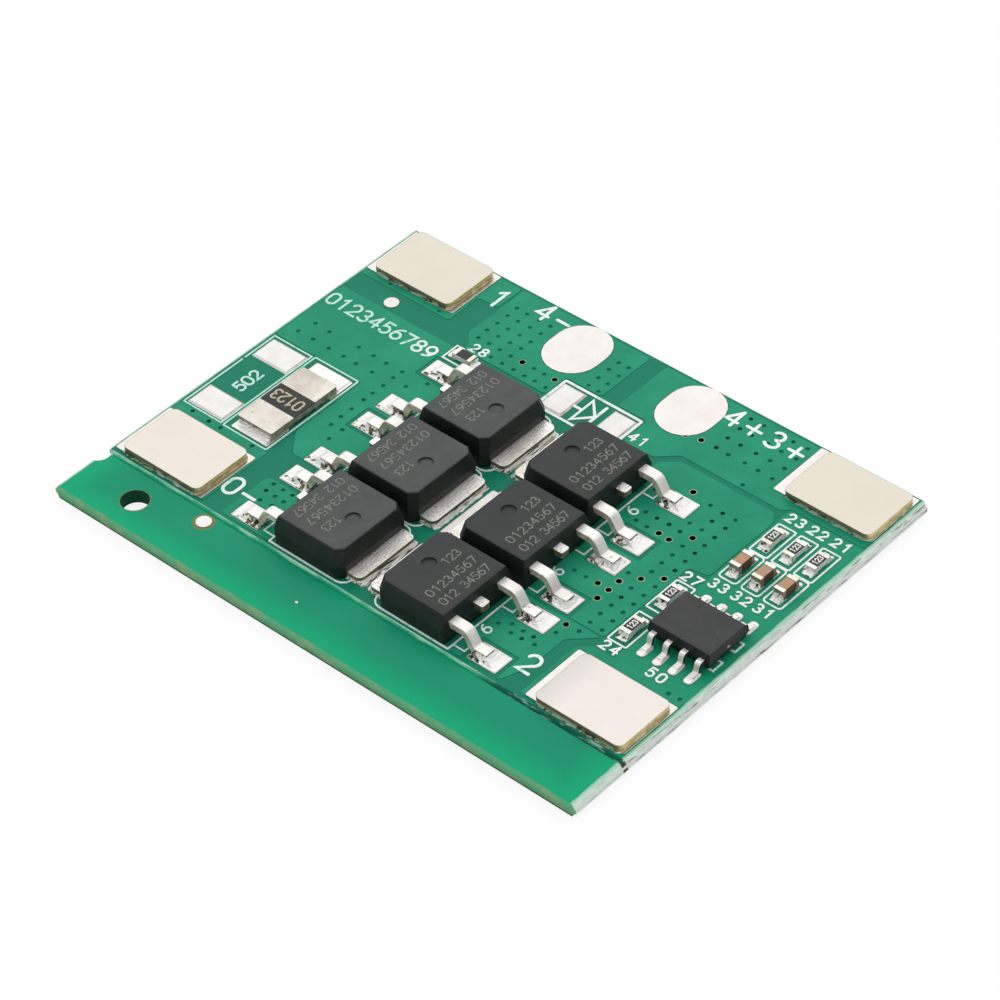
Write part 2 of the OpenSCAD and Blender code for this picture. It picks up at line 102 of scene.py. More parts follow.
# ---- materials ---------------------------------------
class Look:
    """A node material on one Principled shader, with textures laid out in millimetres."""

    def __init__(self, name, rough, metal=0.0, specular=0.5):
        self.mat = bpy.data.materials.new(name)
        self.mat.use_nodes = True
        self.tree = self.mat.node_tree
        self.shader = self.tree.nodes["Principled BSDF"]
        self.shader.inputs["Roughness"].default_value = rough
        self.shader.inputs["Metallic"].default_value = metal
        self.shader.inputs["Specular IOR Level"].default_value = specular
        coords = self.add("ShaderNodeTexCoord").outputs["Object"]
        scaled = self.add("ShaderNodeVectorMath", operation="SCALE", Vector=coords, Scale=1000.0)
        self.mm = scaled.outputs[0]
        split = self.add("ShaderNodeSeparateXYZ", Vector=self.mm)
        self.x, self.y, self.z = split.outputs

    def add(self, kind, **settings):
        """A new node; settings name its inputs, number them (in0, in1) or name its properties."""
        node = self.tree.nodes.new(kind)
        for key, value in settings.items():
            if key in node.inputs.keys():
                self.set(node.inputs[key], value)
            elif key.startswith("in") and key[2:].isdigit():
                self.set(node.inputs[int(key[2:])], value)
            else:
                setattr(node, key, value)
        return node

    def set(self, socket, value):
        if isinstance(value, bpy.types.NodeSocket):
            self.tree.links.new(value, socket)
        elif isinstance(value, tuple) and len(value) == 3 and socket.type == "RGBA":
            socket.default_value = (*value, 1)
        else:
            socket.default_value = value

    def math(self, operation, a, b=0.0):
        return self.add("ShaderNodeMath", operation=operation, in0=a, in1=b).outputs[0]

    def times(self, a, b):
        return self.math("MULTIPLY", a, b)

    def plus(self, a, b):
        return self.math("ADD", a, b)

    def minus(self, a, b):
        return self.math("SUBTRACT", a, b)

    def size(self, a):
        return self.math("ABSOLUTE", a)

    def ramp(self, value, low, high):
        """0 below low and 1 above high, smooth between them."""
        return self.add("ShaderNodeMapRange", interpolation_type="SMOOTHSTEP", Value=value,
                        **{"From Min": low, "From Max": high}).outputs[0]

    def noise(self, scale, detail=3.0, stretch=(1, 1, 1)):
        """Noise with about scale features per millimetre."""
        where = self.add("ShaderNodeVectorMath", operation="MULTIPLY", in0=self.mm, in1=stretch)
        return self.add("ShaderNodeTexNoise", Vector=where.outputs[0], Scale=scale, Detail=detail,
                        Roughness=0.55).outputs["Fac"]

    def patches(self, scale, detail, low, high, stretch=(1, 1, 1)):
        """Patches of noise: 0 where it lies below low and 1 where it lies above high."""
        return self.ramp(self.noise(scale, detail, stretch), low, high)

    def mix(self, factor, a, b):
        node = self.add("ShaderNodeMix", data_type="RGBA")
        self.set(node.inputs[0], factor)
        self.set(node.inputs[6], a)
        self.set(node.inputs[7], b)
        return node.outputs[2]

    def colour(self, value):
        self.set(self.shader.inputs["Base Color"], value)

    def follow(self, name, texture, span, least):
        """Lets the shader's input of this name follow a texture: least, plus span times the texture."""
        self.set(self.shader.inputs[name], self.plus(self.times(texture, span), least))

    def facing(self):
        """X, Y and Z of the surface normal, eased over a narrow band along each edge."""
        edge = self.add("ShaderNodeBevel", samples=6, Radius=0.00007)
        return self.add("ShaderNodeSeparateXYZ", Vector=edge.outputs[0]).outputs

    def bump(self, height, depth, radius=0.0):
        """Relief of depth millimetres, on edges rounded to radius millimetres; gives the material."""
        node = self.add("ShaderNodeBump", Height=height, Distance=depth / 1000, Strength=1.0)
        if radius:
            edge = self.add("ShaderNodeBevel", samples=6, Radius=radius / 1000)
            self.set(node.inputs["Normal"], edge.outputs[0])
        self.set(self.shader.inputs["Normal"], node.outputs[0])
        return self.mat


def darker(colour, factor):
    return tuple(factor * channel for channel in colour)


def metal(name, base, tint, rough, grain, depth, radius, side=None, specks=0.0, stretch=(1, 1, 1),
          speck_grain=3.2, speck_from=0.68):
    """Bare metal: a base colour that drifts to a tint, a duller side colour and a grain of its own."""
    look = Look(name, rough=rough, metal=1.0)
    colour = look.mix(look.patches(0.45, 4.0, 0.35, 0.68), base, tint)
    if specks:
        spots = look.patches(speck_grain, 2.0, speck_from, speck_from + 0.06)
        colour = look.mix(look.times(spots, specks), colour, (0.22, 0.2, 0.16))
    look.follow("Roughness", look.noise(grain, 3.0, stretch), 0.22, rough - 0.11)
    if side:
        top = look.ramp(look.size(look.facing()[2]), 0.45, 0.8)
        mottle = look.mix(look.patches(2.4, 3.0, 0.35, 0.65), side, darker(side, 0.55))
        colour = look.mix(top, mottle, colour)
        look.follow("Metallic", top, 0.45, 0.55)
    look.colour(colour)
    return look.bump(look.noise(grain, 2.0, stretch), depth, radius)


def lead_look():
    """Tinned leads: bright tops, golden cut sides, and ends painted dark as the shade at each toe."""
    look = Look("lead_metal", rough=0.3, metal=1.0)
    across, _, up = look.facing()
    colour = look.mix(look.patches(0.9, 4.0, 0.35, 0.68), (0.93, 0.915, 0.875), (0.8, 0.78, 0.73))
    spots = look.patches(2.6, 2.0, 0.68, 0.72)
    colour = look.mix(look.times(spots, 0.6), colour, (0.2, 0.19, 0.15))
    side = look.mix(look.patches(2.0, 3.0, 0.35, 0.65), (0.84, 0.73, 0.62), (0.52, 0.44, 0.35))
    # Painted shade: faces that look along the lead, the toe ends, are painted near black
    side = look.mix(look.ramp(look.size(across), 0.6, 0.85), side, (0.012, 0.012, 0.008))
    top = look.ramp(look.size(up), 0.06, 0.36)
    look.colour(look.mix(top, side, colour))
    look.follow("Metallic", top, 0.3, 0.2)
    fine = look.noise(7.0, 3.0)
    look.follow("Roughness", fine, 0.2, 0.22)
    return look.bump(fine, 0.008, 0.06)


def nickel_tab():
    """Satin strip with cut sides painted gold where they face right and dark elsewhere, as light and shade;
    each tab's tone is painted reflection, lighter at the front than at the back.
    """
    look = Look("tab_metal", rough=0.36, metal=1.0)
    # Painted reflection: the front tabs lighter than the back ones, the right one lighter than the left,
    # and the front right one duller at its left end
    back = look.ramp(look.y, 0.0, 6.0)
    right = look.ramp(look.x, -6.0, 6.0)
    dull = look.times(look.ramp(look.x, 17.2, 15.0), right)
    front = look.mix(right, (0.69, 0.64, 0.57), (0.715, 0.66, 0.625))
    front = look.mix(dull, front, (0.6, 0.575, 0.535))
    top = look.mix(back, front, (0.645, 0.6, 0.515))
    tarnished = look.mix(0.1, top, (0.45, 0.4, 0.34))
    top = look.mix(look.patches(0.3, 4.0, 0.3, 0.7), top, tarnished)
    across, _, up = look.facing()
    # Painted light and shade: sides facing right are painted gold-lit, the other sides dark
    cut_side = look.mix(look.ramp(across, 0.3, 0.8), (0.26, 0.235, 0.15), (0.8, 0.64, 0.3))
    burnt = look.mix(0.35, cut_side, (0.1, 0.075, 0.03))
    cut_side = look.mix(look.patches(1.6, 3.0, 0.4, 0.7, (1, 1, 2)), cut_side, burnt)
    flat = look.ramp(up, 0.55, 0.96)
    rim = look.times(look.ramp(up, 0.5, 0.75), look.ramp(up, 0.985, 0.86))
    colour = look.mix(flat, cut_side, top)
    look.colour(look.mix(look.times(rim, 0.75), colour, (0.44, 0.33, 0.15)))
    look.follow("Metallic", flat, 0.65, 0.35)
    fine = look.noise(7.0, 3.0)
    look.follow("Roughness", fine, 0.16, 0.3)
    return look.bump(fine, 0.004, 0.09)


def mask_colours(look):
    """Green mask over the rail and over bare laminate, brighter where light enters at a free edge."""
    front = look.plus(look.y, BOARD_W / 2)
    side = look.minus(BOARD_L / 2, look.size(look.x))
    glow = look.ramp(look.math("MINIMUM", front, look.times(side, 0.8)), 2.4, 0.1)
    drift = look.noise(0.22, 3.0)
    rail = look.mix(drift, (0.007, 0.28, 0.15), (0.009, 0.325, 0.176))
    rail = look.mix(glow, rail, (0.003, 0.4, 0.185))
    bare = look.mix(drift, (0.008, 0.205, 0.122), (0.011, 0.24, 0.14))
    # Copper lies under the whole mask in the area of the small parts
    filled = look.mix(drift, (0.012, 0.285, 0.155), (0.017, 0.325, 0.176))
    right = look.ramp(look.x, 38.84 - BOARD_L / 2, 38.9 - BOARD_L / 2)
    field = look.mix(look.times(right, look.ramp(front, 28.9, 28.8)), bare, filled)
    mask = look.mix(look.ramp(front, RAIL_W - 0.05, RAIL_W + 0.05), rail, field)
    # The mask is chipped to pale laminate along the snapped edges, and browned round the holes
    worn = look.plus(side, look.times(look.noise(1.1, 3.0), -0.16))
    mask = look.mix(look.ramp(worn, 0.06, 0.0), mask, (0.36, 0.6, 0.44))
    mask = look.mix(look.ramp(side, 0.01, -0.02), mask, (0.68, 0.76, 0.69))
    for centre, r, reach in [(TOOLING_HOLE, TOOLING_R, 0.1), (FIDUCIAL, FIDUCIAL_R, 0.24)]:
        dx = look.minus(look.x, centre[0] - BOARD_L / 2)
        dy = look.minus(look.y, centre[1] - BOARD_W / 2)
        away = look.math("SQRT", look.plus(look.times(dx, dx), look.times(dy, dy)))
        mask = look.mix(look.ramp(away, r + reach, r + 0.3 * reach), mask, (0.185, 0.235, 0.075))
    return mask


def snapped_end(look):
    """Pale glass fibre with dark tears, smoother on the rail, with painted shade in the score's end and a
    painted highlight along its upper edge.
    """
    layers = look.noise(1.0, 4.0, (0.8, 0.8, 5.0))
    banded = look.ramp(layers, 0.35, 0.65)
    score_y = SCORE_Y - BOARD_W / 2
    pale = look.mix(banded, (0.64, 0.7, 0.65), (0.9, 0.94, 0.9))
    on_rail = look.ramp(look.y, score_y, score_y - 0.1)
    pale = look.mix(on_rail, pale, look.mix(banded, (0.62, 0.8, 0.67), (0.84, 0.93, 0.86)))
    tears = look.patches(2.4, 4.0, 0.57, 0.61, (1.0, 0.22, 4.0))
    tears = look.times(tears, look.minus(0.85, look.times(on_rail, 0.7)))
    pale = look.mix(tears, pale, (0.14, 0.16, 0.12))
    from_score = look.size(look.minus(look.y, score_y))
    # Painted shade in the notch that the score leaves in the end
    pale = look.mix(look.ramp(from_score, 0.26, 0.16), pale, (0.1, 0.1, 0.06))
    # Painted highlight: a mint band along the upper edge
    painted_edge_highlight = look.ramp(look.plus(look.z, look.times(layers, 0.1)), 0.98, 1.09)
    return look.mix(look.times(painted_edge_highlight, 0.9), pale, (0.5, 0.9, 0.68))


def rail_front(look):
    """The rail's routed front: green light comes through its upper half."""
    front = look.mix(look.ramp(look.z, 0.1, 0.85), (0.13, 0.34, 0.17), (0.12, 0.5, 0.25))
    tan = look.times(look.patches(0.9, 3.0, 0.48, 0.66), 0.5)
    front = look.mix(tan, front, (0.36, 0.44, 0.24))
    return look.mix(look.ramp(look.z, 0.2, 0.08), front, (0.03, 0.11, 0.06))


def score_wall(look):
    """Walls of the score, torn pale along their upper edge; below it painted brighter than the mask to
    offset the shade there, and at the right painted dark as shade with bright streaks of painted highlight.
    """
    torn = look.patches(1.7, 4.0, 0.38, 0.62, (0.35, 1, 1))
    torn = look.mix(torn, (0.08, 0.55, 0.34), (0.46, 0.86, 0.64))
    height = look.plus(look.z, look.times(look.noise(1.2, 3.0, (0.5, 1, 1)), 0.24))
    # Painted light: the wall below the torn edge is brighter than the mask, to offset its shade
    torn = look.mix(look.ramp(height, 0.98, 1.12), (0.012, 0.46, 0.26), torn)
    torn = look.mix(look.ramp(height, 1.16, 1.2), torn, (0.6, 0.86, 0.7))
    # Painted shade and highlights: at the right the wall is dark with thin bright streaks
    streaks = look.patches(3.0, 4.0, 0.5, 0.66, (0.22, 1, 1.6))
    streaks = look.mix(streaks, (0.01, 0.19, 0.12), (0.42, 0.72, 0.58))
    return look.mix(look.ramp(look.x, 10.0, 12.5), torn, streaks)


def laminate_look():
    """The whole board: green mask on its faces, and glass fibre on its edges, scores and holes."""
    look = Look("laminate", rough=0.28, specular=0.09)
    true_normal = look.add("ShaderNodeNewGeometry").outputs["True Normal"]
    _, along, up = look.add("ShaderNodeSeparateXYZ", Vector=true_normal).outputs
    faces_front = look.ramp(look.size(along), 0.95, 0.99)
    side = look.mix(faces_front, snapped_end(look), rail_front(look))
    sloped = look.ramp(look.size(up), 0.2, 0.3)
    inner = look.math("LESS_THAN", look.size(look.x), BOARD_L / 2 - 0.02)
    side = look.mix(look.times(sloped, inner), side, score_wall(look))
    # Upright walls away from the ends and the front are painted dark green: painted shade in the drilled
    # holes, and the back the same
    walls_painted_shade = look.times(look.minus(1.0, sloped), inner)
    walls_painted_shade = look.times(walls_painted_shade, look.math("GREATER_THAN", look.y, 0.02 - BOARD_W / 2))
    layers = look.noise(1.0, 4.0, (0.8, 0.8, 5.0))
    side = look.mix(walls_painted_shade, side, look.mix(layers, (0.002, 0.06, 0.028), (0.006, 0.11, 0.05)))
    flat = look.ramp(look.size(up), 0.9, 0.96)
    look.colour(look.mix(flat, side, mask_colours(look)))
    look.follow("Roughness", flat, -0.4, 0.66)
    weave = look.times(look.noise(6.0, 3.0, (1, 1, 3)), look.minus(1.5, look.times(flat, 1.5)))
    relief = look.plus(look.times(look.noise(1.3, 2.0), 0.35), weave)
    return look.bump(relief, 0.02, 0.04)


def mask_look(name, low, high, rough=0.26):
    look = Look(name, rough=rough, specular=0.09)
    look.colour(look.mix(look.patches(0.3, 4.0, 0.35, 0.65), low, high))
    return look.bump(look.noise(1.5, 3.0), 0.006, 0.02)


def ink_look(name, low, high, worn=None):
    """Print; a worn one lets the mask show through in patches, most of all near the left edge."""
    look = Look(name, rough=0.6, specular=0.2)
    colour = look.mix(look.patches(5.0, 3.0, 0.3, 0.7), low, high)
    if worn:
        faded = look.times(look.ramp(look.x, -12.5, -15.0), 0.62)
        colour = look.mix(faded, colour, (0.34, 0.78, 0.62))
        colour = look.mix(look.times(look.patches(2.1, 4.0, 0.57, 0.66), 0.5), colour, worn)
    look.colour(colour)
    return look.bump(look.noise(9.0, 2.0), 0.006)


def moulding_look(name, top, side, rough, radius, top_right_sheen=None, specks=0.0):
    """Moulding compound: a grey painted sheen on its upper face, fainter to the right, and a painted
    highlight along its edges.
    """
    look = Look(name, rough=rough, specular=0.4)
    up = look.facing()[2]
    # Painted sheen: the upper face is lighter than the sides, and dimmer on the packages at the right
    top = look.mix(look.ramp(look.x, -3.0, 3.0), top, top_right_sheen or top)
    top = look.mix(look.patches(0.8, 4.0, 0.3, 0.7), top, look.mix(0.22, top, (0.0, 0.0, 0.0)))
    if specks:
        spots = look.patches(5.0, 2.0, 0.72, 0.76)
        top = look.mix(look.times(spots, specks), top, (0.16, 0.165, 0.16))
    low = look.mix(look.patches(1.2, 3.0, 0.35, 0.65), side, darker(side, 0.5))
    colour = look.mix(look.ramp(up, 0.86, 0.99), low, top)
    # Painted highlight: a lighter band where the upper face turns down at its edges
    worn = look.times(look.ramp(up, 0.55, 0.8), look.ramp(up, 0.985, 0.9))
    look.colour(look.mix(look.times(worn, 0.5), colour, (0.1, 0.115, 0.11)))
    grain = look.noise(14.0, 2.0)
    look.follow("Roughness", grain, 0.16, rough - 0.08)
    return look.bump(grain, 0.022, radius)


def ceramic_look(name, low, high, rough, grain=8.0, side=None):
    look = Look(name, rough=rough, specular=0.4)
    colour = look.mix(look.noise(grain, 3.0), low, high)
    if side:
        # Faces turned away from the top take the side colour: painted shade
        colour = look.mix(look.ramp(look.facing()[2], 0.5, 0.95), side, colour)
    look.colour(colour)
    return look.bump(look.noise(grain * 2, 2.0), 0.004, 0.03)


def frosted(look):
    """The fine skin of set solder; gives the material."""
    fine = look.noise(3.0, 3.0)
    look.follow("Roughness", fine, 0.2, 0.22)
    return look.bump(fine, 0.014, 0.05)


def solder_look(name, side=None):
    """Bright frosted solder with mottling and dark specks; a value on each vertex marks where flux burnt on
    it, and where shade is painted round the leads.
    """
    look = Look(name, rough=0.3, metal=0.35)
    rise = look.size(look.facing()[2])
    colour = look.mix(look.patches(0.7, 4.0, 0.35, 0.68), (0.96, 0.945, 0.915), (0.87, 0.85, 0.815))
    # Painted highlight: steep slopes are painted whiter than the flats
    colour = look.mix(look.ramp(rise, 0.9, 0.6), colour, (0.98, 0.97, 0.94))
    stain = look.add("ShaderNodeAttribute", attribute_name="stain").outputs["Fac"]
    spots = look.times(look.patches(3.4, 4.0, 0.65, 0.7), look.plus(0.2, look.times(stain, 0.7)))
    colour = look.mix(spots, colour, (0.12, 0.11, 0.08))
    patchy = look.plus(look.noise(3.6, 5.0), look.times(stain, 0.22))
    brown = look.mix(look.patches(1.6, 2.0, 0.45, 0.6), (0.01, 0.013, 0.008), (0.16, 0.15, 0.07))
    burnt = look.times(look.ramp(patchy, 0.66, 0.74), look.ramp(stain, 0.05, 0.3))
    colour = look.mix(burnt, colour, brown)
    if side:
        colour = look.mix(look.ramp(rise, 0.25, 0.7), side, colour)
    look.colour(colour)
    return frosted(look)


def spare_solder_look():
    """Domed solder on an empty pad, with its far and right slopes painted dull as painted reflection."""
    look = Look("spare_solder", rough=0.3, metal=0.35)
    across, along, _ = look.facing()
    colour = look.mix(look.patches(0.9, 4.0, 0.35, 0.68), (0.85, 0.84, 0.805), (0.78, 0.765, 0.73))
    # Painted reflection: the slopes facing back and right take a dull grey
    away = look.math("MAXIMUM", look.ramp(along, 0.08, 0.3), look.ramp(across, 0.15, 0.4))
    dull = look.mix(look.patches(2.0, 3.0, 0.4, 0.6), (0.42, 0.38, 0.3), (0.62, 0.58, 0.5))
    look.colour(look.mix(look.times(away, 0.8), colour, dull))
    return frosted(look)


def tab_fillet_look():
    """Solder drawn up under a tab: painted gold-lit where it faces right, and tan and green-white at the
    front with patches of painted shade.
    """
    look = Look("tab_fillet", rough=0.4, metal=0.3)
    across = look.facing()[0]
    patch = look.noise(1.3, 4.0)
    gold = look.mix(look.ramp(patch, 0.35, 0.6), (0.74, 0.6, 0.3), (0.46, 0.36, 0.15))
    front = look.patches(1.8, 4.0, 0.46, 0.56, (0.5, 1, 1))
    front = look.mix(front, (0.03, 0.05, 0.025), (0.34, 0.4, 0.28))
    front = look.mix(look.ramp(patch, 0.58, 0.66), front, (0.3, 0.25, 0.12))
    # Painted light: faces that look right are gold, the others take the front's shaded patches
    colour = look.mix(look.ramp(across, 0.25, 0.5), front, gold)
    height = look.plus(look.z, look.times(patch, 0.08))
    white = look.times(look.ramp(height, 1.23, 1.19), look.ramp(across, -0.2, 0.4))
    look.colour(look.mix(white, colour, (0.86, 0.85, 0.76)))
    look.follow("Roughness", patch, 0.3, 0.25)
    return look.bump(look.noise(5.0, 3.0), 0.012, 0.04)


def drain_fillet_look():
    """Solder drawn out from under a drain tab in long pale, tan and black streaks."""
    look = Look("drain_fillet", rough=0.35, metal=0.3)
    streak = look.noise(3.6, 4.0, (1.8, 0.14, 1.8))
    colour = look.mix(look.ramp(streak, 0.4, 0.46), (0.05, 0.05, 0.03), (0.96, 0.95, 0.91))
    tan = look.patches(1.6, 3.0, 0.56, 0.63, (1.5, 0.3, 1.5))
    look.colour(look.mix(tan, colour, (0.44, 0.41, 0.26)))
    look.follow("Roughness", streak, 0.3, 0.2)
    return look.bump(streak, 0.02, 0.04)


MAT = {
    "laminate": laminate_look(),
    "pour": mask_look("pour", (0.015, 0.285, 0.16), (0.021, 0.33, 0.186)),
    "via_rim": mask_look("via_rim", (0.012, 0.27, 0.15), (0.019, 0.32, 0.18)),
    # The bowls of the vias and the bores of the open ones are painted dark green to black as their shade
    "via_bowl_shade": mask_look("via_bowl_shade", (0.003, 0.12, 0.068), (0.007, 0.185, 0.106), rough=0.35),
    "via_bowl_dark_shade": mask_look("via_bowl_dark_shade", (0.001, 0.035, 0.02), (0.003, 0.075, 0.042), rough=0.5),
    "via_bowl_faint_shade": mask_look("via_bowl_faint_shade", (0.006, 0.165, 0.098), (0.012, 0.225, 0.135), rough=0.35),
    "open_hole_shade": mask_look("open_hole_shade", (0.001, 0.006, 0.004), (0.002, 0.014, 0.009), rough=0.7),
    "collar": metal("collar", (0.44, 0.52, 0.36), (0.26, 0.33, 0.2), 0.4, 6.0, 0.006, 0.03),
    "ink": ink_look("ink", (0.92, 1.0, 0.97), (0.97, 1.0, 0.99), worn=(0.16, 0.56, 0.4)),
    "moulding_ink": ink_look("moulding_ink", (0.17, 0.17, 0.155), (0.26, 0.26, 0.24)),
    "code_ink": ink_look("code_ink", (0.8, 0.8, 0.76), (0.92, 0.92, 0.88)),
    "shunt_ink": ink_look("shunt_ink", (0.44, 0.37, 0.25), (0.66, 0.57, 0.42)),
    # The moulding's grey top is painted sheen, dimmer on the right-hand column
    "moulding": moulding_look("moulding", (0.066, 0.07, 0.07), (0.004, 0.01, 0.008), 0.5, 0.07,
                              top_right_sheen=(0.022, 0.025, 0.025)),
    "controller_moulding": moulding_look("controller_moulding", (0.036, 0.038, 0.037),
                                         (0.004, 0.008, 0.007), 0.55, 0.05, specks=0.5),
    "coat": moulding_look("coat", (0.018, 0.024, 0.016), (0.008, 0.012, 0.008), 0.5, 0.04),
    "glaze": moulding_look("glaze", (0.01, 0.01, 0.01), (0.006, 0.006, 0.006), 0.3, 0.02),
    "white_ceramic": ceramic_look("white_ceramic", (0.55, 0.6, 0.57), (0.72, 0.76, 0.72), 0.6),
    # The capacitors' sides are painted dark brown as shade
    "brown_ceramic": ceramic_look("brown_ceramic", (0.42, 0.23, 0.13), (0.58, 0.34, 0.21), 0.45, 3.0,
                                  side=(0.1, 0.045, 0.02)),
    "tab_metal": nickel_tab(),
    "frame_metal": metal("frame_metal", (0.97, 0.955, 0.92), (0.8, 0.775, 0.715), 0.45, 6.0, 0.03, 0.06,
                         side=(0.3, 0.26, 0.15), specks=0.55, stretch=(1.6, 0.7, 1.6),
                         speck_grain=8.0, speck_from=0.57),
    "lead_metal": lead_look(),
    "shunt_metal": metal("shunt_metal", (0.7, 0.655, 0.6), (0.5, 0.455, 0.39), 0.36, 6.0, 0.014, 0.07,
                         side=(0.46, 0.4, 0.32), specks=0.6),
    # The end caps' upright faces are painted grey-brown as shade
    "end_metal": metal("end_metal", (0.88, 0.86, 0.8), (0.66, 0.62, 0.52), 0.34, 9.0, 0.006, 0.03,
                       side=(0.38, 0.31, 0.24)),
    "pad_metal": metal("pad_metal", (0.74, 0.71, 0.68), (0.7, 0.65, 0.62), 0.33, 2.6, 0.01, 0.04),
    "solder": solder_look("solder"),
    "tab_solder": solder_look("tab_solder", side=(0.62, 0.6, 0.44)),
    "spare_solder": spare_solder_look(),
    "tab_fillet": tab_fillet_look(),
    "drain_fillet": drain_fillet_look(),
}

# A CAD node wears the material named like its slot, unless it is named here
SLOT_MATS = {"shunt_coat": "coat", "black_glaze": "glaze"}
NODE_MATS = {"tab_solder": "tab_solder", "spare_pads": "spare_solder",
             "controller_body": "controller_moulding"}
for part in frame["record"]["subparts"]:
    slot = part["material_slot"]
    mesh = frame["nodes"][part["node"]].data
    mesh.materials.clear()
    mesh.materials.append(MAT[NODE_MATS.get(part["node"], SLOT_MATS.get(slot, slot))])


# ---- mesh helpers ------------------------------------
def mesh_object(name, form, materials, smooth):
    """An object on the root body, made of a bmesh's form."""
    mesh = bpy.data.meshes.new(name)
    form.normal_update()
    form.to_mesh(mesh)
    form.free()
    for material in materials:
        mesh.materials.append(material)
    if smooth:
        mesh.polygons.foreach_set("use_smooth", [True] * len(mesh.polygons))
    piece = new_object(name, mesh)
    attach(piece, "root")
    return piece


class Piece:
    """One mesh piece on the root body, built from prisms and rings."""

    def __init__(self, name, slot, *materials):
        self.name, self.slot, self.materials = name, slot, materials
        self.bm = bmesh.new()

    def prism(self, outline, z0, z1):
        """Extrudes an outline, counted anticlockwise, from z0 up to z1."""
        low = [self.bm.verts.new(at(x, y, z0)) for x, y in outline]
        high = [self.bm.verts.new(at(x, y, z1)) for x, y in outline]
        self.bm.faces.new(high)
        self.bm.faces.new(low[::-1])
        count = len(outline)
        for i in range(count):
            j = (i + 1) % count
            self.bm.faces.new((low[i], low[j], high[j], high[i]))

    def rings(self, centre, profile, closed, sides=20):
        """Turns (radius, z, material) steps round a centre, bottom or outside first."""
        loops = []
        for radius, z, _ in profile:
            angles = [math.tau * i / sides for i in range(sides)]
            loops.append([self.bm.verts.new(at(centre[0] + radius * math.cos(angle),
                                               centre[1] + radius * math.sin(angle), z))
                          for angle in angles])
        for lower, upper, (_, _, material) in zip(loops, loops[1:], profile[1:]):
            for i in range(sides):
                j = (i + 1) % sides
                self.bm.faces.new((lower[i], lower[j], upper[j], upper[i])).material_index = material
        if closed:
            self.bm.faces.new(loops[-1]).material_index = profile[-1][2]
            self.bm.faces.new(loops[0][::-1]).material_index = profile[0][2]

    def finish(self, smooth=False):
        piece = mesh_object(self.name, self.bm, [MAT[name] for name in self.materials], smooth)
        return piece


def arc(cx, cy, rx, ry, start, end, steps=10):
    angles = [math.radians(start + (end - start) * i / steps) for i in range(steps + 1)]
    return [(cx + rx * math.cos(a), cy + ry * math.sin(a)) for a in angles]


def rectangle(x0, y0, x1, y1, r=0.0, steps=4):
    """Outline of a rectangle, anticlockwise, with corners of radius r."""
    if not r:
        return [(x0, y0), (x1, y0), (x1, y1), (x0, y1)]
    return (arc(x1 - r, y0 + r, r, r, -90, 0, steps) + arc(x1 - r, y1 - r, r, r, 0, 90, steps)
            + arc(x0 + r, y1 - r, r, r, 90, 180, steps) + arc(x0 + r, y0 + r, r, r, 180, 270, steps))


def box_round(cx, cy, w, h, r):
    return rectangle(cx - w / 2, cy - h / 2, cx + w / 2, cy + h / 2, r)


def round_cap(centre, start, radius):
    """Points between the two ends of the half circle that starts at start and turns left."""
    angle = math.degrees(math.atan2(*(start - centre).yx))
    return [Vector(q) for q in arc(centre.x, centre.y, radius, radius, angle, angle + 180, 6)[1:-1]]


def ribbon(points, width, closed=False):
    """Outlines of a stroke along points: round ends, mitred bends; a closed stroke is cut in quads."""
    pts = [Vector(p) for p in points]
    count = len(pts)
    left, right = [], []
    for i, p in enumerate(pts):
        before = pts[i - 1] if (i or closed) else None
        after = pts[(i + 1) % count] if (i < count - 1 or closed) else None
        ways = [(p - before).normalized()] if before is not None else []
        ways += [(after - p).normalized()] if after is not None else []
        way = sum(ways, Vector((0, 0))).normalized()
        side = Vector((-way.y, way.x))
        reach = width / 2 / max(0.5, abs(side.dot(Vector((-ways[0].y, ways[0].x)))))
        left.append(p + side * reach)
        right.append(p - side * reach)
    if closed:
        return [[right[i], right[(i + 1) % count], left[(i + 1) % count], left[i]] for i in range(count)]
    cap = round_cap(pts[-1], right[-1], width / 2)
    tail = round_cap(pts[0], left[0], width / 2)
    return [right + cap + left[::-1] + tail]


STROKE_NUMBERS = itertools.count(1)


def stroke(piece, points, width, band, closed=False):
    """A stroke between two heights, a hair above the last few so that crossings stay clean."""
    lift = 0.0006 * (next(STROKE_NUMBERS) % 7)
    for outline in ribbon(points, width, closed):
        piece.prism([(p.x, p.y) for p in outline], band[0], band[1] + lift)


